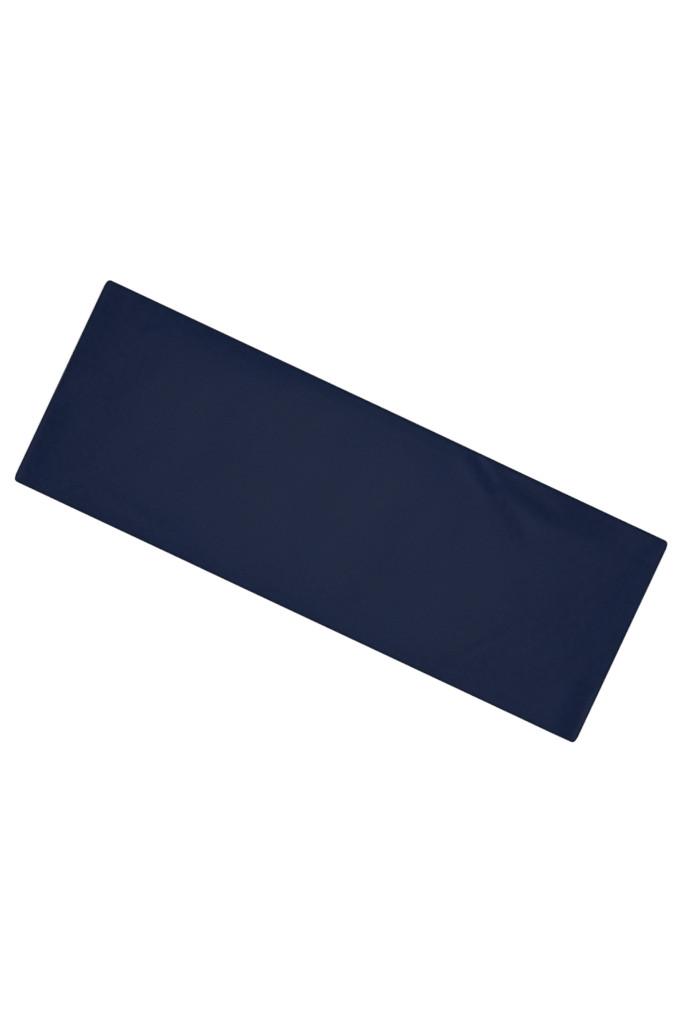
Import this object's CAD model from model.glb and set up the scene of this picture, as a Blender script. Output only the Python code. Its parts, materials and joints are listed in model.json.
"""A wide sports headband in navy double jersey, a closed loop pressed flat.

The cloth is drawn in layers along one path: from the closing seam at X = 0 on the back side to the right,
round the right end fold, over the front side to the left, round the left end fold and back to the seam.
Each stretch of a side bends with one joint of the frame, and each half of an end fold with the fold's own.
The closing seam's allowance, its threads and the blank care label lie inside the loop, on the back side.
"""
import json
import math

import bpy
import numpy as np
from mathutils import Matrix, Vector

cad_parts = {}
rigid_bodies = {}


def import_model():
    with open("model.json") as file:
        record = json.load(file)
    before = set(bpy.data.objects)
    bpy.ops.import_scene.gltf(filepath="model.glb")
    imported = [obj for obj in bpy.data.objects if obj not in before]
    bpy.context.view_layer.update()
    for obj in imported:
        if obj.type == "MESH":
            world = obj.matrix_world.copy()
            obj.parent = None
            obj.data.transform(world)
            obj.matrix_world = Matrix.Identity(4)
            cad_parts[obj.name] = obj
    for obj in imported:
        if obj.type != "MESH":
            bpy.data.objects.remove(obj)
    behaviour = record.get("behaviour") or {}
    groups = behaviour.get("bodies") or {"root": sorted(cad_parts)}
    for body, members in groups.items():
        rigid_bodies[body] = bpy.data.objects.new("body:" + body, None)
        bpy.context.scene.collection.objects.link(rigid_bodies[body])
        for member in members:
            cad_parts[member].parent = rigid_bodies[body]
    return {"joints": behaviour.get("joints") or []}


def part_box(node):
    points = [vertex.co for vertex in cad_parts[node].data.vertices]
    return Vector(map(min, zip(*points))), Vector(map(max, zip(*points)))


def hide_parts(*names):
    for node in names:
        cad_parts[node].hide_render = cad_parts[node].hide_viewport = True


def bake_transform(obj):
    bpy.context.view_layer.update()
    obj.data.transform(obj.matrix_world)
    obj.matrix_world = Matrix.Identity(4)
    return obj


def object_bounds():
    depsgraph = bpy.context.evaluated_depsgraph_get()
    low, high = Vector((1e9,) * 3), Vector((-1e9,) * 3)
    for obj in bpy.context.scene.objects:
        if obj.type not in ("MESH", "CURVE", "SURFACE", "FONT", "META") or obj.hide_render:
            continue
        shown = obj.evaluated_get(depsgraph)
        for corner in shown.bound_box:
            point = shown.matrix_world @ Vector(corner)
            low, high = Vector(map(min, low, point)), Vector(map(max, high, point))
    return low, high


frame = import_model()
cad_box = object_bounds()

MM = 0.001

# ---------------------------------------------------------------- sizes, from the frame

LOW, HIGH = (Vector(corner) for corner in cad_box)
LENGTH, WIDTH, HEIGHT = HIGH - LOW
HALF_W = WIDTH / 2
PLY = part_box("lining_back_1")[1].z
BACK_Z = PLY / 2
FRONT_Z = HEIGHT - PLY / 2
FOLD_Z = HEIGHT / 2
MID_R = FOLD_Z - PLY / 2
JOINTS = {joint["name"]: joint for joint in frame["joints"]}
FOLD_X = JOINTS["right_fold_opening"]["pos_m"][0]
ZONE = JOINTS["bend_back_6"]["pos_m"][0] - JOINTS["bend_back_5"]["pos_m"][0]
FOLD_ARC = math.pi * MID_R
# Distances along the loop, from the closing seam: each fold's start and end, and the whole way round.
RIGHT_START = FOLD_X
RIGHT_END = RIGHT_START + FOLD_ARC
LEFT_START = RIGHT_END + 2 * FOLD_X
LEFT_END = LEFT_START + FOLD_ARC
ROUND = LEFT_END + FOLD_X

ALLOWANCE_LOW, ALLOWANCE_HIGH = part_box("closing_allowance_lining")
STITCH_LOW, STITCH_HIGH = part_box("closing_seam_stitches")
OVERLOCK_LOW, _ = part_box("closing_seam_overlock")
TACK_LOW, TACK_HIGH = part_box("allowance_bar_tacks")
LABEL_LOW, LABEL_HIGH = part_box("care_label")
THREAD_D = STITCH_HIGH.x - STITCH_LOW.x

CORNER = 1.9 * MM           # radius of the flat band's corners in plan
CLOTH = 0.28 * MM           # drawn thickness of one layer
ROLL = 1.5 * MM             # width over which a long edge rolls from the face to the edge seam
FINE_GRID = 0.8 * MM        # spacing of the mesh on the outside of the front, where the creases show
COARSE_GRID = 1.5 * MM      # and elsewhere
FOLD_GRID = 0.35 * MM       # and round the end folds
TURNED_W = 6 * MM           # width of the edge allowance that is turned in between shell and lining
TURNED_T = 0.36 * MM        # and its thickness
TURNED_SHORT = 0.9 * MM     # and how far it stops short of the band's long edge
STITCH = 2.5 * MM           # length of one stitch of the closing seam
FLATTENING = 5 * MM         # how far from an end fold the sides are pressed flat


# ---------------------------------------------------------------- relief of the two sides

def smooth(t):
    t = np.clip(t, 0, 1)
    return t * t * (3 - 2 * t)


def samples(start, end, step):
    return np.linspace(start, end, max(2, int(round((end - start) / step))) + 1)


WAVE_COUNT = 14


def waves(x, y, size, seed):
    """Smooth random relief, mostly between -1 and 1, the same on every run."""
    rng = np.random.default_rng(seed)
    total = np.zeros_like(x)
    for _ in range(WAVE_COUNT):
        angle = rng.uniform(0, math.pi)
        pitch = size * rng.uniform(0.7, 1.6)
        phase = rng.uniform(0, 2 * math.pi)
        total += np.sin(2 * math.pi * (x * math.cos(angle) + y * math.sin(angle)) / pitch + phase)
    return total / math.sqrt(WAVE_COUNT)


def crease(x, y, start, end, width, height):
    """A ridge, or a valley where height is negative, along a line in plan, fading at its ends."""
    (x0, y0), (x1, y1) = start, end
    dx, dy = x1 - x0, y1 - y0
    run = math.hypot(dx, dy)
    along = ((x - x0) * dx + (y - y0) * dy) / run
    off = ((x - x0) * dy - (y - y0) * dx) / run
    fade_run = 0.35 * run
    fade = smooth(along / fade_run + 0.3) * smooth((run - along) / fade_run + 0.3)
    return height * np.exp(-((off / width) ** 2)) * fade


# Creases of the front side in plan, in millimetres: start, end, width and height.
CREASES = [
    ((33, 42), (50, 31), 2.0, -0.60),
    ((50, 31), (68, 21), 3.6, -0.34),
    ((31, 37), (48, 27), 2.6, 0.30),
    ((44, 38), (76, 33), 3.4, -0.55),
    ((40, 43), (104, 41), 9.0, -1.70),
    ((62, 27), (92, 29), 4.5, 0.25),
    ((-118, 48), (-40, 46), 9.0, -2.50),
    ((-56, 43), (-10, 45), 6.5, -0.90),
    ((-125, -47), (-30, -48), 9.0, -2.70),
    ((-40, -48), (112, -47), 8.5, -1.10),
    ((-88, -31), (-46, -35), 2.6, -0.25),
    ((58, -37), (80, -6), 1.6, -0.11),
    ((70, -28), (87, -35), 1.2, -0.14),
    ((57, -33), (63, -37), 1.8, -0.30),
    ((-115, -46), (-114.5, -4), 6.0, -1.60),
    ((-115, 4), (-113, 46), 6.0, -1.00),
    ((-104, 40), (-92, 31), 4.5, -0.40),
    ((115, -54), (115, -18), 5.5, -2.90),
    ((104.5, -48), (104.5, -19), 6.0, 0.70),
    ((115, 42), (109, 29), 3.0, -0.70),
    ((114, -30), (114, 40), 8.0, -0.90),
    ((100, -30), (107, 10), 3.0, -0.22),
]
SEAM_LIFT = 1.0 * MM        # how far the closing seam below lifts the front side
RIDGE_W = 15 * MM           # width of the ridge that it makes
SWELL = 0.25 * MM           # height of the soft swells on either side of it
SLACK = 0.003               # how much longer the front side's cloth is than the way between the two folds
DROP = 0.5 * MM             # how far above its bed the cloth starts
SIMULATED_GRID = 2.5 * MM   # spacing of its points
SIMULATED_SCALE = 100.0     # how much larger than life it is, because the solver suits things metres long
CONTACT = 0.02              # distance that it keeps from its bed, at that scale
FRAMES = 36                 # frames that it settles for


def springy_bed(x, y):
    """Height of what the front side rests on: a soft swell, with a ridge over the closing seam."""
    ridge = SEAM_LIFT * np.exp(-(((x - 3 * MM - 0.12 * y) / RIDGE_W) ** 2))
    return ridge + SWELL * waves(x / MM, y / MM, 52, 3)


def grid_object(name, points):
    """A sheet of quads over a grid of points, linked to the scene."""
    index = np.arange(points.shape[0] * points.shape[1]).reshape(points.shape[:2])
    quads = np.stack([index[:-1, :-1], index[1:, :-1], index[1:, 1:], index[:-1, 1:]], -1).reshape(-1, 4)
    mesh = bpy.data.meshes.new(name)
    mesh.from_pydata(points.reshape(-1, 3).tolist(), [], quads.tolist())
    piece = bpy.data.objects.new(name, mesh)
    bpy.context.scene.collection.objects.link(piece)
    return piece


def draped_heights():
    """Heights of the slack front cloth after it has settled over the seam's ridge, on a grid in plan.

    The cloth is held at both end folds, and a cloth simulation lets it sink on to the springy side below.
    """
    x, y = np.meshgrid(samples(-FOLD_X, FOLD_X, SIMULATED_GRID),
                       samples(-HALF_W, HALF_W, SIMULATED_GRID), indexing="ij")
    start = springy_bed(x, y) + DROP + SWELL * waves(x / MM, y / MM, 34, 6)
    cloth = grid_object("front_cloth", np.stack([x, y, start], -1) * SIMULATED_SCALE)
    # The bed reaches a little past the cloth on every side.
    bed = grid_object("bed", np.stack([x * 1.1, y * 1.2, springy_bed(x, y)], -1) * SIMULATED_SCALE)
    ends = cloth.vertex_groups.new(name="ends")
    ends.add(np.flatnonzero(np.abs(x.ravel()) > FOLD_X - MM).tolist(), 1.0, "REPLACE")
    bed.modifiers.new("Collision", "COLLISION")
    bed.collision.thickness_outer = CONTACT
    settle = cloth.modifiers.new("Cloth", "CLOTH")
    settle.settings.vertex_group_mass = "ends"
    settle.settings.shrink_min = -SLACK
    settle.settings.quality = 6
    settle.settings.bending_stiffness = 4.0
    settle.settings.air_damping = 4.0
    settle.collision_settings.distance_min = CONTACT
    settle.point_cache.frame_end = FRAMES
    for frame_number in range(1, FRAMES + 1):
        bpy.context.scene.frame_set(frame_number)
    settled = cloth.evaluated_get(bpy.context.evaluated_depsgraph_get())
    points = np.empty(3 * x.size)
    settled.data.vertices.foreach_get("co", points)
    heights = points[2::3].reshape(x.shape) / SIMULATED_SCALE
    for piece in (cloth, bed):
        mesh = piece.data
        bpy.data.objects.remove(piece)
        bpy.data.meshes.remove(mesh)
    bpy.context.scene.frame_set(1)
    return heights


DRAPE = draped_heights()


def drape(x, y):
    """The settled height at any place in plan, smoothed by a cubic B-spline."""
    total = np.zeros_like(x)
    rows, cols = DRAPE.shape
    u = np.clip((x / FOLD_X + 1) / 2, 0, 1) * (rows - 1)
    v = np.clip((y / HALF_W + 1) / 2, 0, 1) * (cols - 1)
    i, j = np.floor(u).astype(int), np.floor(v).astype(int)

    def weights(t):
        return ((1 - t) ** 3 / 6, (3 * t**3 - 6 * t**2 + 4) / 6,
                (-3 * t**3 + 3 * t**2 + 3 * t + 1) / 6, t**3 / 6)

    for di, wu in enumerate(weights(u - i)):
        for dj, wv in enumerate(weights(v - j)):
            row = np.clip(i + di - 1, 0, rows - 1)
            col = np.clip(j + dj - 1, 0, cols - 1)
            total += wu * wv * DRAPE[row, col]
    return total


# In millimetres:
LOFT = 0.7             # how far the front side stands up between its edges
UNEVEN = 0.07          # its shallow unevenness, one or two centimetres across
FINE_UNEVEN = 0.014    # and its fine unevenness, some millimetres across
FREE_FALL = 1.4        # how far it may sink before the back side begins to stop it
LANDING = 0.45         # and how much further it can sink at most


def front_relief(x, y):
    """Height of the front side's mid-line above the flat, in metres."""
    u, v = x / MM, y / MM
    total = LOFT + drape(x, y) / MM + UNEVEN * waves(u, v, 17, 4) + FINE_UNEVEN * waves(u, v, 5, 5)
    # The two folds hold the cloth down, and so do the edge seams to a lesser degree.
    held = 1 - np.minimum(np.abs(x) / FOLD_X, 1) ** 8
    total = total * held * (1 - 0.7 * np.minimum(np.abs(y) / HALF_W, 1) ** 4)
    for start, end, width, height in CREASES:
        total = total + crease(u, v, start, end, width, height)
    # It stops short of the back side.
    sunk = np.minimum(total + FREE_FALL, 0)
    total = np.maximum(total, -FREE_FALL) + LANDING * (np.exp(sunk / LANDING) - 1)
    return total * MM


def back_relief(x, y):
    """Height of the back side above the surface it lies on, in metres."""
    u, v = x / MM, y / MM
    held = smooth((FOLD_X - np.abs(x)) / FLATTENING)
    return (0.05 + 0.04 * waves(u, v, 30, 8)) * held * MM


# ---------------------------------------------------------------- the path of the loop

HAIR = 1e-9    # room for rounding where two parts of the path meet


def place(s, y, n):
    """Points at distance s along the loop, y across it and n out of its mid-line."""
    parts = [s <= RIGHT_START + HAIR, s < RIGHT_END - HAIR, s <= LEFT_START + HAIR, s < LEFT_END - HAIR]
    right = (s - RIGHT_START) / MID_R - math.pi / 2
    left = (s - LEFT_START) / MID_R - math.pi / 2
    radius = MID_R + n
    x = np.select(parts, [
        s, FOLD_X + radius * np.cos(right), FOLD_X - (s - RIGHT_END), -FOLD_X - radius * np.cos(left),
    ], s - ROUND)
    z = np.select(parts, [
        BACK_Z - n, FOLD_Z + radius * np.sin(right), FRONT_Z + n, FOLD_Z - radius * np.sin(left),
    ], BACK_Z - n)
    # The front side's relief fades out over the upper half of each fold.
    half = FOLD_ARC / 2
    front = smooth((s - RIGHT_END + half) / half) * smooth((LEFT_START + half - s) / half)
    back = (s <= RIGHT_START + HAIR) | (s >= LEFT_END - HAIR)
    z = z + front * front_relief(x, y) + np.where(back, back_relief(x, y), 0)
    # The corners are round in plan.
    over = np.clip((np.abs(x) - (LENGTH / 2 - CORNER)) / CORNER, 0, 1)
    y = y * (1 - (1 - np.sqrt(1 - over**2)) * CORNER / HALF_W)
    return np.stack([x, y, z], -1)


def inside(x, y, height):
    """Points inside the loop, that height above the back side's lining, near the closing seam."""
    x, y, height = np.broadcast_arrays(x, y, height)
    return np.stack([x, y, PLY + height + back_relief(x, y)], -1)


def flatness(s):
    """1 on the flat sides, falling to 0 at the end folds."""
    x = place(s, np.zeros_like(s), np.zeros_like(s))[..., 0]
    return smooth((FOLD_X - np.abs(x)) / FLATTENING)


# ---------------------------------------------------------------- meshes
# A part is (points, faces, each point's flat place on the cloth, and which cut end it lies on or 0).

def thin_solid(top, low, flat, flip=False):
    """A part: the closed solid between two grids of points."""
    rows, cols = top.shape[:2]
    count = rows * cols
    index = np.arange(count).reshape(rows, cols)
    a, b, c, d = (q.ravel() for q in (index[:-1, :-1], index[:-1, 1:], index[1:, 1:], index[1:, :-1]))

    def wall(line):
        return np.stack([line[:-1], line[:-1] + count, line[1:] + count, line[1:]], -1)

    faces = np.concatenate([
        np.stack([a, b, c, d], -1), np.stack([a, d, c, b], -1) + count,
        wall(index[0]), wall(index[:, -1]), wall(index[-1][::-1]), wall(index[:, 0][::-1]),
    ])
    if flip:
        faces = faces[:, ::-1]
    ends = np.zeros((rows, cols), int)
    ends[0], ends[-1] = 1, 2
    points = np.concatenate([top.reshape(-1, 3), low.reshape(-1, 3)])
    return points, faces, np.concatenate([flat.reshape(-1, 2)] * 2), np.concatenate([ends.ravel()] * 2)


TUBE_SIDES = 8


def tube(path, radius):
    """A part: a round thread along a path, with its length and its way round as its flat place."""
    path = np.asarray(path, float)
    tangents = np.gradient(path, axis=0)
    tangents /= np.linalg.norm(tangents, axis=1, keepdims=True)
    normal = np.cross(tangents[0], (0.31, 0.17, 0.94))
    turns = np.arange(TUBE_SIDES) * 2 * math.pi / TUBE_SIDES
    rings = []
    for point, tangent in zip(path, tangents):
        normal = normal - tangent * normal.dot(tangent)
        normal /= np.linalg.norm(normal)
        other = np.cross(tangent, normal)
        rings.append(point + radius * (np.outer(np.cos(turns), normal) + np.outer(np.sin(turns), other)))
    index = np.arange(len(path) * TUBE_SIDES).reshape(len(path), TUBE_SIDES)
    turned = np.roll(index, -1, axis=1)
    sides = np.stack([index[:-1], turned[:-1], turned[1:], index[1:]], -1).reshape(-1, 4)
    faces = sides.tolist() + [index[0][::-1].tolist(), index[-1].tolist()]
    flat = np.stack(np.meshgrid(path_lengths(path), turns * radius, indexing="ij"), -1).reshape(-1, 2)
    ends = np.zeros(index.shape, int)
    ends[0], ends[-1] = 1, 2
    return np.concatenate(rings), faces, flat, ends.ravel()


def smoothed(points, steps=3):
    """The points joined by a smooth curve through them (Catmull-Rom)."""
    padded = np.concatenate([2 * points[:1] - points[1:2], points, 2 * points[-1:] - points[-2:-1]])
    p0, p1, p2, p3 = (padded[i:len(padded) - 3 + i, None] for i in range(4))
    t = np.arange(steps)[None, :, None] / steps
    curve = 0.5 * (2 * p1 + (p2 - p0) * t + (2 * p0 - 5 * p1 + 4 * p2 - p3) * t**2
                   + (3 * p1 - p0 - 3 * p2 + p3) * t**3)
    return np.concatenate([curve.reshape(-1, 3), points[-1:]])


def ribbon(path, y_values, thickness, height_at, flip=False):
    """A part: a band of the cloth that follows a path of (X, height), laid across all of y_values."""
    tangent = np.gradient(path, axis=0)
    tangent /= np.linalg.norm(tangent, axis=1, keepdims=True)
    normal = np.stack([-tangent[:, 1], tangent[:, 0]], -1)
    surfaces = []
    for offset in (thickness / 2, -thickness / 2):
        line = path + normal * offset
        x, y = np.meshgrid(line[:, 0], y_values, indexing="ij")
        surfaces.append(inside(x, y, height_at(x, y, np.broadcast_to(line[:, 1:2], x.shape))))
    flat = np.stack(np.meshgrid(path_lengths(path), y_values, indexing="ij"), -1)
    return thin_solid(*surfaces, flat, flip)


def path_lengths(path):
    """Each point's distance along the path."""
    return np.concatenate([[0], np.cumsum(np.linalg.norm(np.diff(path, axis=0), axis=1))])


def build(name, parts, material):
    """One piece from its parts. Its cut ends are sharp, so that a stretch shades on into the next one."""
    faces, base = [], 0
    for points, part_faces, _, _ in parts:
        faces += [[base + corner for corner in face] for face in np.asarray(part_faces, object).tolist()]
        base += len(points)
    mesh = bpy.data.meshes.new(name)
    mesh.from_pydata(np.concatenate([part[0] for part in parts]).tolist(), [], faces)
    flat = np.concatenate([part[2] for part in parts])
    corners = np.empty(len(mesh.loops), np.int32)
    mesh.loops.foreach_get("vertex_index", corners)
    mesh.uv_layers.new(name="cloth").data.foreach_set("uv", flat[corners].ravel())
    mesh.polygons.foreach_set("use_smooth", [True] * len(mesh.polygons))
    ends = np.concatenate([part[3] for part in parts])
    edges = np.empty(2 * len(mesh.edges), np.int32)
    mesh.edges.foreach_get("vertices", edges)
    first, second = ends[edges[::2]], ends[edges[1::2]]
    mesh.edges.foreach_set("use_edge_sharp", (first > 0) & (first == second))
    mesh.materials.append(material)
    piece = bpy.data.objects.new(name, mesh)
    bpy.context.scene.collection.objects.link(piece)
    return piece


# ---------------------------------------------------------------- materials

class Surface:
    """A Principled material, with short calls for its nodes."""

    def __init__(self, name):
        self.material = bpy.data.materials.new(name)
        self.material.use_nodes = True
        self.tree = self.material.node_tree
        self.tree.nodes.clear()
        out = self.tree.nodes.new("ShaderNodeOutputMaterial")
        self.shader = self.tree.nodes.new("ShaderNodeBsdfPrincipled")
        self.tree.links.new(self.shader.outputs[0], out.inputs[0])

    def set(self, **values):
        for name, value in values.items():
            self.link(value, self.shader.inputs[name.replace("_", " ")])

    def link(self, value, socket):
        if isinstance(value, bpy.types.NodeSocket):
            self.tree.links.new(value, socket)
        else:
            socket.default_value = value

    def math(self, operation, a, b=0.0):
        node = self.tree.nodes.new("ShaderNodeMath")
        node.operation = operation
        self.link(a, node.inputs[0])
        self.link(b, node.inputs[1])
        return node.outputs[0]

    def sum(self, *terms):
        """The weighted sum of (value, weight) pairs."""
        total = 0.0
        for value, weight in terms:
            total = self.math("ADD", self.math("MULTIPLY", value, weight), total)
        return total

    def wave(self, value, pitch):
        return self.math("SINE", self.math("MULTIPLY", value, 2 * math.pi / pitch))

    def near(self, distance, reach):
        """1 at no distance, falling to 0 at the reach."""
        share = self.math("DIVIDE", self.math("ABSOLUTE", distance), reach)
        return self.math("SUBTRACT", 1.0, self.math("MINIMUM", share, 1.0))

    def noise(self, vector, scale, detail=3.0, roughness=0.55):
        node = self.tree.nodes.new("ShaderNodeTexNoise")
        self.link(vector, node.inputs["Vector"])
        self.link(scale, node.inputs["Scale"])
        self.link(detail, node.inputs["Detail"])
        self.link(roughness, node.inputs["Roughness"])
        return self.math("SUBTRACT", node.outputs["Fac"], 0.5)

    def flat_place(self):
        """The point's place on the flat cloth, and that place's two coordinates, in metres."""
        node = self.tree.nodes.new("ShaderNodeUVMap")
        node.uv_map = "cloth"
        split = self.tree.nodes.new("ShaderNodeSeparateXYZ")
        self.link(node.outputs["UV"], split.inputs[0])
        return node.outputs["UV"], split.outputs[0], split.outputs[1]

    def ramp(self, factor, dark, light):
        """Dark where factor is -0.5 or less, light where it is 0.5 or more."""
        node = self.tree.nodes.new("ShaderNodeValToRGB")
        self.link(self.math("ADD", factor, 0.5), node.inputs[0])
        node.color_ramp.elements[0].color = (*dark, 1)
        node.color_ramp.elements[1].color = (*light, 1)
        return node.outputs[0]

    def bump(self, height, strength, distance, under=None):
        node = self.tree.nodes.new("ShaderNodeBump")
        self.link(strength, node.inputs["Strength"])
        self.link(distance, node.inputs["Distance"])
        self.link(height, node.inputs["Height"])
        if under is not None:
            self.link(under, node.inputs["Normal"])
        return node.outputs[0]


KNIT_COLUMN = 0.55 * MM     # width of one column of knit stitches
KNIT_ROW = 0.42 * MM        # and height of one row
EDGE_PRESS = 1.3 * MM       # width of the darker pressed line along a long edge
FOLD_PRESS = 1.6 * MM       # and to either side of an end fold's middle
PLY_TWIST = 0.45 * MM       # length over which a thread's plies wind round once
FLOAT_W = 0.22 * MM         # width of one of the label's satin floats
FLOAT_L = 0.9 * MM          # and its length


def jersey(name, dark, light, roughness, relief):
    """Fine single jersey: columns of V stitches, mottled yarn, slight pilling and pressed edges."""
    m = Surface(name)
    place_on, along, across_band = m.flat_place()
    in_column = m.math("FRACT", m.math("DIVIDE", along, KNIT_COLUMN))
    in_column = m.math("ABSOLUTE", m.math("SUBTRACT", in_column, 0.5))
    leg = m.wave(m.sum((across_band, 1 / KNIT_ROW), (in_column, 1.3)), 1.0)
    valley = m.wave(in_column, 1.0)
    knit = m.sum((leg, 0.5), (valley, 0.8))
    patches = m.noise(place_on, 45, 3.0, 0.5)
    mottle = m.noise(place_on, 420, 4.0, 0.6)
    fuzz = m.noise(place_on, 1900, 2.0, 0.7)
    # The long edges and the end folds are pressed flat: the yarn is denser and darker there.
    edge = m.near(m.math("SUBTRACT", m.math("ABSOLUTE", across_band), HALF_W), EDGE_PRESS)
    for fold in (RIGHT_START, LEFT_START):
        from_middle = m.math("SUBTRACT", along, fold + FOLD_ARC / 2)
        edge = m.math("MAXIMUM", edge, m.near(from_middle, FOLD_PRESS))
    tone = m.sum((patches, 0.8), (mottle, 1.7), (fuzz, 3.4), (knit, 0.05), (edge, -1.1))
    m.set(
        Base_Color=m.ramp(tone, dark, light),
        Roughness=m.sum((mottle, 0.20), (patches, 0.10), (edge, -0.04), (1.0, roughness)),
        Normal=m.bump(knit, 0.3, relief, m.bump(m.sum((mottle, 0.7), (fuzz, 0.8)), 0.75, relief)),
        Specular_IOR_Level=0.066,
        Specular_Tint=(0.80, 0.88, 1.0, 1.0),
        Sheen_Weight=0.03,
        Sheen_Roughness=0.4,
        Sheen_Tint=(0.45, 0.60, 1.0, 1.0),
    )
    return m.material


def thread(name, dark, light):
    """Twisted sewing thread: two plies that wind round each other, with a slight gloss."""
    m = Surface(name)
    place_on, along, around = m.flat_place()
    plies = m.wave(m.sum((along, 1 / PLY_TWIST), (around, 2 / (math.pi * THREAD_D))), 1.0)
    fibre = m.noise(place_on, 3000, 2.0)
    m.set(
        Base_Color=m.ramp(m.sum((plies, 0.3), (fibre, 0.8)), dark, light),
        Roughness=m.sum((fibre, 0.2), (1.0, 0.42)),
        Normal=m.bump(plies, 0.6, 0.03 * MM),
        Specular_IOR_Level=0.2,
        Specular_Tint=(0.70, 0.82, 1.0, 1.0),
    )
    return m.material


def satin(name, dark, light):
    """Woven satin tape: fine lengthwise floats with a soft gloss."""
    m = Surface(name)
    place_on, along, across_tape = m.flat_place()
    floats = m.sum((m.wave(across_tape, FLOAT_W), 0.7), (m.wave(along, FLOAT_L), 0.3))
    stain = m.noise(place_on, 150)
    m.set(
        Base_Color=m.ramp(m.sum((stain, 0.8), (floats, 0.12)), dark, light),
        Roughness=m.sum((stain, 0.2), (1.0, 0.34)),
        Normal=m.bump(floats, 0.4, 0.02 * MM),
        Sheen_Weight=0.2,
    )
    return m.material


SHELL = jersey("shell_jersey", (0.0026, 0.0062, 0.0226), (0.0055, 0.0110, 0.0364), 0.49, 0.03 * MM)
LINING = jersey("lining_jersey", (0.0085, 0.0150, 0.0400), (0.0125, 0.0205, 0.0530), 0.55, 0.04 * MM)
ALLOWANCE = jersey("allowance_jersey", (0.0060, 0.0110, 0.0330), (0.0090, 0.0155, 0.0410), 0.55, 0.04 * MM)
THREAD = thread("navy_thread", (0.0085, 0.0165, 0.0500), (0.0180, 0.0310, 0.0850))
LABEL = satin("label_satin", (0.60, 0.62, 0.66), (0.74, 0.76, 0.80))


# ---------------------------------------------------------------- the cloth's section

ROLL_STEPS = 9
SEAM_DIP = 0.30 * MM        # how deep the shell and the lining dip into the closing seam
SEAM_DIP_W = 0.7 * MM       # and how far from it they begin to
MIDDLE_THIN = 0.10 * MM     # how much thinner the band is between its turned-in edges
LAYER_GAP = 0.03 * MM       # least distance of a layer's outer face from the mid-line


def across(grid):
    """Places across the band where a layer has a row of points, and how far each has rolled over."""
    middle = samples(-HALF_W + ROLL, HALF_W - ROLL, grid)
    turn = np.linspace(0, math.pi / 2, ROLL_STEPS)[:-1]
    edge = HALF_W - ROLL * (1 - np.cos(turn))
    y = np.concatenate([-edge, middle, edge[::-1]])
    face = np.concatenate([np.sin(turn), np.ones(len(middle)), np.sin(turn[::-1])])
    return y, face


def seam_dip(s):
    """How far the cloth dips into the closing seam, from 0 to 1."""
    away = np.minimum(s, ROUND - s)
    return np.exp(-((away / SEAM_DIP_W) ** 2))


def layer(s_values, side, grid, fullness=1.0):
    """One stretch of shell (side = 1) or lining (side = -1), with a share of its thickness."""
    y, face = across(grid)
    s, y = np.meshgrid(s_values, y, indexing="ij")
    # The turned-in edges make the band a little thicker along its long edges than in the middle.
    middle = smooth((HALF_W - np.abs(y) - 5 * MM) / (3 * MM)) * flatness(s)
    outer = np.maximum(PLY / 2 * face - SEAM_DIP * seam_dip(s) - MIDDLE_THIN * middle, LAYER_GAP)
    inner = np.maximum(outer - CLOTH, LAYER_GAP / 2)
    thinner = (1 - fullness) * (outer - inner) / 2
    outer, inner = outer - thinner, inner + thinner
    return thin_solid(place(s, y, side * outer), place(s, y, side * inner), np.stack([s, y], -1), side < 0)


def edge_strips(s_values, fullness=1.0):
    """One stretch of the turned-in allowance along both long edges, with a share of its thickness."""
    parts = []
    for hand in (-1, 1):
        y_values = np.sort(hand * samples(HALF_W - TURNED_W, HALF_W - TURNED_SHORT, FINE_GRID))
        s, y = np.meshgrid(s_values, y_values, indexing="ij")
        n = np.full_like(s, fullness * TURNED_T / 2)
        parts.append(thin_solid(place(s, y, n), place(s, y, -n), np.stack([s, y], -1)))
    return parts


# ---------------------------------------------------------------- the loop's stretches

def joint_distance(joint):
    """The joint's distance along the loop."""
    x, _, z = joint["pos_m"]
    if abs(z - FOLD_Z) < PLY / 4:
        return (RIGHT_START if x > 0 else LEFT_START) + FOLD_ARC / 2
    if z > FOLD_Z:
        return RIGHT_END + FOLD_X - x
    return x if x > 0 else ROUND + x


def bend_span(joint):
    """Where a side's stretch starts and ends along the loop. Next to a fold it runs on up to the fold."""
    middle = joint_distance(joint)
    start, end = middle - ZONE / 2, middle + ZONE / 2
    for edge in (RIGHT_START, LEFT_START):
        if abs(end + ZONE / 2 - edge) < MM:
            end = edge
    for edge in (RIGHT_END, LEFT_END):
        if abs(start - ZONE / 2 - edge) < MM:
            start = edge
    return max(start, 0.0), min(end, ROUND)


# How the shares below are balanced: the first guess, how far each round moves it, and the digits that count.
FIRST_SHARE = 0.25
BALANCE_ROUNDS = 200
BALANCE_STEP = 0.3
SHARE_DIGITS = 4


def eased(share):
    """Where along its way an eased turn has reached that share."""
    return 0.5 - math.sin(math.asin(1 - 2 * share) / 3)


def balanced_shares(has_seam):
    """The share of the next bend's turn that the cloth takes up at the middle of each zone of a side.

    They run from the band's middle out to the end fold, and are balanced so that the slope runs on from one
    bend to the next: the open loop is then an even arc. At the fold, and at the closing seam where the side
    has it, the cloth follows its own body, and the share is 0.
    """
    bends = int(FOLD_X / ZONE)
    # Zones between each share's place and the next: the fold lies a whole zone beyond the last bend.
    runs = [1.0] * (bends - 1) + [1.5]
    shares = [0.0 if has_seam else FIRST_SHARE] + [FIRST_SHARE] * (bends - 1) + [0.0]
    for _ in range(BALANCE_ROUNDS):
        ways = [eased(share) for share in shares]
        rates = [(1 - ways[i] - ways[i + 1]) / runs[i] for i in range(bends)]
        for i in range(1 if has_seam else 0, bends):
            steepness = 6 * ways[i] * (1 - ways[i])
            balanced = steepness * (rates[max(i - 1, 0)] + rates[i]) / 4
            shares[i] += BALANCE_STEP * (balanced - shares[i])
    return [round(share, SHARE_DIGITS) for share in shares]


FRONT_SHARES = balanced_shares(has_seam=False)
BACK_SHARES = balanced_shares(has_seam=True)


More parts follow.
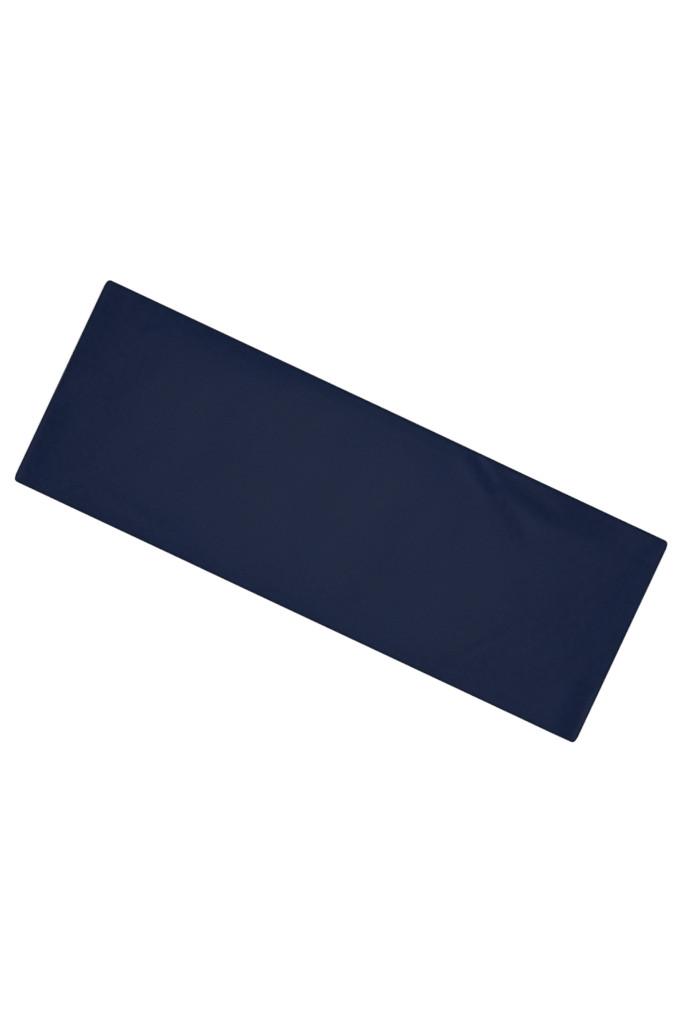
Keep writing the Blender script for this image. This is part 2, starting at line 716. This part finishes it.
def bend_with(piece, joint):
    """The piece bends with one side's joint, by the shares at the two zone middles next to the joint."""
    x, _, z = joint["pos_m"]
    on_back = z < FOLD_Z
    step = int(abs(x) / ZONE)
    near, far = (BACK_SHARES if on_back else FRONT_SHARES)[step:step + 2]
    # Next to an end fold, the far share is met at the fold and not at a zone's middle.
    by_fold = abs(x) + ZONE + MM > FOLD_X
    run = ZONE / 2 + (ZONE if by_fold else ZONE / 2)
    reach = run / (1 - eased(near) - eased(far))
    near_x = abs(x) - ZONE / 2 - eased(near) * reach
    sign = 1 if x > 0 else -1
    ends = [(sign * near_x, 0, z), (sign * (near_x + reach), 0, z)]
    # The bodies follow each other round the loop, so the parent is the outer one where s runs inwards.
    if (x > 0) != on_back:
        ends.reverse()
    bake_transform(piece)


def bend_fold_half(piece):
    """Half of an end fold bends from its own side towards the other, by half of the fold's opening."""
    # The half's own travel along that direction is half of the whole blend.
    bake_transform(piece)


# Each layer's name, how far its mid-line lies out of the loop's, its material and its slot.
LAYERS = [
    ("shell", PLY / 2 - CLOTH / 2, SHELL, "shell_jersey"),
    ("edge_seams", 0, ALLOWANCE, "seam_allowance"),
    ("lining", CLOTH / 2 - PLY / 2, LINING, "lining_jersey"),
]


def layer_parts(name, s_values, grid, fullness=1.0):
    """The parts of one stretch of the named layer."""
    if name == "edge_seams":
        return edge_strips(s_values, fullness)
    return [layer(s_values, 1 if name == "shell" else -1, grid, fullness)]


def tongue(name, end, grid):
    """A tongue just inside the cloth, which backs the hair gap to the next stretch when the loop opens."""
    if min(abs(end - edge) for edge in (RIGHT_START, LEFT_START, ROUND)) < MM:
        return []
    # It spans one row of the mesh on either side, and so bends exactly as the cloth over it does.
    row = ZONE / round(ZONE / grid)
    return layer_parts(name, end + np.array([-row, 0.0, row]), grid, 0.9)


def side_stretches():
    """Each layer's stretches of the front and the back side."""
    stood_for = set()
    for name, _, material, slot_name in LAYERS:
        for joint in sorted(JOINTS.values(), key=joint_distance):
            if joint["name"].endswith("opening"):
                continue
            start, end = bend_span(joint)
            on_front = joint["pos_m"][2] > FOLD_Z
            grid = FINE_GRID if on_front and name == "shell" else COARSE_GRID
            where = joint["name"].replace("bend_", "")
            parts = layer_parts(name, samples(start, end, grid), grid) + tongue(name, end, grid)
            piece = build(f"{name}_{where}_stretch", parts, material)
            bend_with(piece, joint)
            nodes = [f"{name}_{body}" for body in (joint["child"], joint["parent"])]
            nodes = [node for node in nodes if node not in stood_for]
            stood_for.update(nodes)
            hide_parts(*nodes)


def fold_halves():
    """Each layer's two halves of each end fold: the one that follows the back side, then the front's."""
    for name, out, material, slot_name in LAYERS:
        for where, start, sign_x in (("right_fold", RIGHT_START, 1), ("left_fold", LEFT_START, -1)):
            for step, half in enumerate(("lower", "upper") if sign_x > 0 else ("upper", "lower")):
                begin, end = start + step * FOLD_ARC / 2, start + (step + 1) * FOLD_ARC / 2
                piece = build(f"{name}_{where}_{half}",
                              layer_parts(name, samples(begin, end, FOLD_GRID), COARSE_GRID),
                              material)
                bend_fold_half(piece)
                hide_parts(f"{name}_{where}")


# ---------------------------------------------------------------- the closing seam, inside the loop

SEAM_RIGHT = JOINTS["bend_back_5"]          # the joint that the allowance's side of the seam bends with
SEAM_LEFT = JOINTS["bend_back_seam_left"]   # and the label's side
ALLOWANCE_LAYERS = 4
LAYER_T = (ALLOWANCE_HIGH.z - PLY - THREAD_D) / ALLOWANCE_LAYERS
FREE_EDGE = ALLOWANCE_HIGH.x
TOP = ALLOWANCE_HIGH.z - PLY    # height of the allowance above the lining


def pressed(x, height):
    """The height once the overlock has squeezed the allowance towards its free edge."""
    squeeze = 0.25 * smooth((x - FREE_EDGE + 3 * MM) / (3 * MM))
    return THREAD_D + (height - THREAD_D) * (1 - squeeze)


def allowance_sheet(k):
    """The k-th layer up: it turns up out of the lining at the seam and lies over to the right."""
    height = THREAD_D + (k + 0.5) * LAYER_T
    start = ALLOWANCE_LOW.x + (ALLOWANCE_LAYERS - 0.5 - k) * LAYER_T
    bend = min(0.3 * MM, height)
    turn = np.linspace(0, math.pi / 2, 6)
    rise = np.stack([np.full(3, start), np.linspace(0.02 * MM, height - bend, 4)[:-1]], -1)
    over = np.stack([start + bend * (1 - np.cos(turn)), height - bend + bend * np.sin(turn)], -1)
    run = samples(start + bend, FREE_EDGE - (k % 2) * 0.15 * MM, 0.7 * MM)[1:]
    path = np.concatenate([rise, over, np.stack([run, np.full(len(run), height)], -1)])

    def pressed_and_rippled(x, y, height_grid):
        # The free edge ripples a little between the overlock's loops.
        ripple = 0.05 * MM * np.cos(2 * math.pi * y / STITCH) * smooth((x - FREE_EDGE + MM) / MM)
        return pressed(x, height_grid) + ripple

    y_values = samples(ALLOWANCE_LOW.y, ALLOWANCE_HIGH.y, COARSE_GRID)
    return ribbon(path, y_values, 0.9 * LAYER_T, pressed_and_rippled, flip=True)


def closing_allowance(threads):
    """The allowance's four pressed layers: the lining's own two, outermost, and the shell's two between."""
    for name, layers_of, material, slot_name in (
        ("lining", (0, 3), LINING, "lining_jersey"), ("shell", (1, 2), SHELL, "shell_jersey"),
    ):
        node = f"closing_allowance_{name}"
        piece = build(f"{node}_layers", [allowance_sheet(k) for k in layers_of], material)
        bend_with(piece, SEAM_RIGHT)
        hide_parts(node)


def stitch_places():
    """The middles of the closing seam's stitches, along Y."""
    count = int(round((STITCH_HIGH.y - STITCH_LOW.y) / STITCH))
    return (np.arange(count) - (count - 1) / 2) * STITCH


def seam_stitches():
    """Lockstitches: each one a low arch of thread that dives into the allowance at both ends."""
    x = (STITCH_LOW.x + STITCH_HIGH.x) / 2
    t = np.linspace(-1, 1, 11)
    arch = TOP - 0.10 * MM + 0.20 * MM * (1 - t**6)
    parts = [tube(inside(x + 0.06 * MM * t, y + t * 0.46 * STITCH, arch), THREAD_D / 2)
             for y in stitch_places()]
    piece = build("closing_seam_lockstitches", parts, THREAD)
    bend_with(piece, SEAM_RIGHT)
    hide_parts("closing_seam_stitches")
    return piece


def overlock():
    """Overlock: a chain of loops that runs round the free edge, and a needle thread that holds it."""
    reach = OVERLOCK_LOW.x
    over, under = TOP + THREAD_D / 2, THREAD_D / 2
    outer = FREE_EDGE + THREAD_D / 2
    # One loop's points: share of a stitch along Y, X, height.
    loop = [
        (0.00, reach, over), (0.10, reach + 0.9 * MM, over), (0.22, reach + 2.4 * MM, over),
        (0.30, outer - 0.5 * MM, over - 0.22 * MM), (0.34, outer, TOP * 0.55),
        (0.40, outer - 0.5 * MM, under), (0.55, reach + 2.0 * MM, under), (0.64, reach + 0.6 * MM, under),
        (0.70, reach, TOP / 2),
    ]
    path = [(x, y + share * STITCH, height) for y in stitch_places() for share, x, height in loop]
    x, y, height = np.array(path).T
    parts = [tube(smoothed(inside(x, y, pressed(x, height))), THREAD_D / 2)]
    t = np.linspace(-1, 1, 9)
    arch = TOP - 0.10 * MM + 0.22 * MM * (1 - t**6)
    parts += [tube(inside(reach - 0.1 * MM, y + t * 0.44 * STITCH, arch), THREAD_D / 2)
              for y in stitch_places()]
    piece = build("closing_seam_overlock_threads", parts, THREAD)
    bend_with(piece, SEAM_RIGHT)
    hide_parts("closing_seam_overlock")
    return piece


def bar_tacks():
    """A bar tack near each long edge: a dense zigzag of thread across the allowance."""
    parts = []
    turns = 34
    for hand in (-1, 1):
        outer = hand * (TACK_HIGH.y - 0.1 * MM)
        inner = hand * (TACK_HIGH.y - 1.7 * MM)
        x = np.linspace(TACK_LOW.x + 0.1 * MM, TACK_HIGH.x - 0.1 * MM, turns)
        y = np.where(np.arange(turns) % 2, outer, inner)
        zigzag = np.stack([x, y, np.full_like(x, TOP - 0.06 * MM)], -1)
        middle = (zigzag[1:] + zigzag[:-1]) / 2 + (0, 0, 0.20 * MM)
        line = np.empty((len(zigzag) + len(middle), 3))
        line[::2], line[1::2] = zigzag, middle
        x, y, height = smoothed(line).T
        parts.append(tube(inside(x, y, height), THREAD_D * 0.42))
    piece = build("allowance_bar_tack_threads", parts, THREAD)
    bend_with(piece, SEAM_RIGHT)
    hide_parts("allowance_bar_tacks")
    return piece


def care_label():
    """A blank satin tape, folded in half, with its two ends caught in the closing seam."""
    tape_t = (LABEL_HIGH.z - LABEL_LOW.z) / 3
    length = LABEL_HIGH.x - LABEL_LOW.x
    low_h = LABEL_LOW.z + tape_t / 2 - PLY
    rise = 0.55 * MM     # the upper half stands up a little towards its fold
    radius = tape_t + rise / 2
    fold_x = LABEL_LOW.x + radius
    run = np.linspace(LABEL_HIGH.x, fold_x, 12)
    turn = np.linspace(0, math.pi, 13)[1:-1]
    lower = np.stack([run, np.full(len(run), low_h)], -1)
    fold = np.stack([fold_x - radius * np.sin(turn), low_h + radius * (1 - np.cos(turn))], -1)
    back = run[::-1]
    share = (LABEL_HIGH.x - back) / length
    upper = np.stack([back, low_h + 2 * tape_t + (2 * radius - 2 * tape_t) * smooth(share / 0.9)], -1)
    path = np.concatenate([lower, fold, upper])
    y_values = samples(LABEL_LOW.y, LABEL_HIGH.y, MM)
    tape = ribbon(path, y_values, tape_t, lambda x, y, height: height)
    piece = build("care_label_tape", [tape], LABEL)
    bend_with(piece, SEAM_LEFT)
    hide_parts("care_label")


side_stretches()
fold_halves()
closing_allowance([seam_stitches(), overlock(), bar_tacks()])
care_label()


# ---------------------------------------------------------------- floor, lights and camera

def floor():
    """A shadowless light table: white, and glowing enough to fill most of the band's own shadow."""
    half = 3.0
    below = -0.05 * MM
    corners = ((-half, -half), (half, -half), (half, half), (-half, half))
    mesh = bpy.data.meshes.new("floor")
    mesh.from_pydata([(x, y, below) for x, y in corners], [], [(0, 1, 2, 3)])
    piece = bpy.data.objects.new("floor", mesh)
    bpy.context.scene.collection.objects.link(piece)
    m = Surface("white_floor")
    coordinates = m.tree.nodes.new("ShaderNodeTexCoord").outputs["Object"]
    m.set(
        Base_Color=m.ramp(m.noise(coordinates, 3.0), (0.37, 0.37, 0.37), (0.39, 0.39, 0.39)),
        Emission_Color=(1, 1, 1, 1),
        Emission_Strength=0.75,
        Roughness=0.9,
        Specular_IOR_Level=0.0,
    )
    mesh.materials.append(m.material)


def softbox(name, place_at, size, power):
    """A round softbox that shines at the band's middle."""
    data = bpy.data.lights.new(name, "AREA")
    data.shape = "DISK"
    data.size = size
    data.energy = power
    light = bpy.data.objects.new(name, data)
    bpy.context.scene.collection.objects.link(light)
    light.location = place_at
    light.rotation_euler = Vector(place_at).to_track_quat("Z", "Y").to_euler()


WORLD_LIGHT = 0.75    # strength of the white world that lights the band
WORLD_SHOWN = 0.30    # and how much more of it the camera sees, which makes the backdrop white


def lights():
    """An even white studio with a soft light from one side and a small one above the band's middle."""
    world = bpy.data.worlds.new("studio")
    bpy.context.scene.world = world
    world.use_nodes = True
    tree = world.node_tree
    back = tree.nodes["Background"]
    back.inputs["Color"].default_value = (1, 1, 1, 1)
    strength = tree.nodes.new("ShaderNodeMath")
    strength.operation = "MULTIPLY_ADD"
    strength.inputs[1].default_value = WORLD_SHOWN
    strength.inputs[2].default_value = WORLD_LIGHT
    seen = tree.nodes.new("ShaderNodeLightPath").outputs["Is Camera Ray"]
    tree.links.new(seen, strength.inputs[0])
    tree.links.new(strength.outputs[0], back.inputs["Strength"])
    softbox("side_softbox", (0.3, -0.75, 1.1), 0.5, 3.6)
    softbox("centre_softbox", (-0.006, 0.004, 0.34), 0.05, 0.575)


CAMERA_DISTANCE = 1.7
VIEW_HEIGHT = 0.3790     # how much of the band's plane the picture's height shows
CAMERA_TURN = 25.15      # degrees that the camera is turned


def camera():
    """The camera looks straight down, turned so that the band slopes down to the right in the picture."""
    data = bpy.data.cameras.new("camera")
    piece = bpy.data.objects.new("camera", data)
    bpy.context.scene.collection.objects.link(piece)
    data.sensor_fit = "VERTICAL"
    data.lens = data.sensor_height * CAMERA_DISTANCE / VIEW_HEIGHT
    piece.location = (0, -0.1 * MM, CAMERA_DISTANCE + FOLD_Z)
    piece.rotation_euler = (0, 0, math.radians(CAMERA_TURN))
    data.clip_start = 0.01
    bpy.context.scene.camera = piece


floor()
lights()
camera()
bpy.context.scene.view_settings.view_transform = "Standard"
